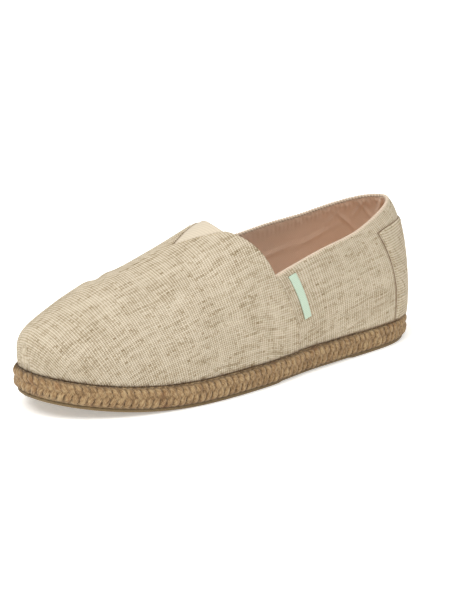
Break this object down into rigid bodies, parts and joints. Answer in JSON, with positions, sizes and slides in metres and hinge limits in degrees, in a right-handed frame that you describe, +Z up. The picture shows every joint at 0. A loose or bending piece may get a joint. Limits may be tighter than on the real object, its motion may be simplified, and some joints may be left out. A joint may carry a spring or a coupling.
{
  "type": "espadrille",
  "caption": "Left slip-on espadrille with a canvas upper over a braided jute sole, an elastic gore at the throat and a counter patch at the heel.",
  "frame": {"origin": "middle of the shoe's box on the floor that it stands on", "axes": "+Z up; -Y from heel to toe; +X towards the outer side of the left foot"},
  "size_m": [0.0926, 0.2627, 0.0876],
  "materials": {
    "rubber": "matte",
    "jute": "braided jute rope",
    "footbed": "woven cotton",
    "canvas": "plain slub canvas",
    "elastic": "ribbed elastic webbing",
    "tag": "woven tape"
  },
  "bodies": {
    "root": {"outsole_rubber": "rubber", "midsole_jute": "jute", "insole": "footbed", "upper": "canvas", "elastic_gore": "elastic", "heel_patch": "canvas", "side_tag": "tag"}
  },
  "joints": []
}
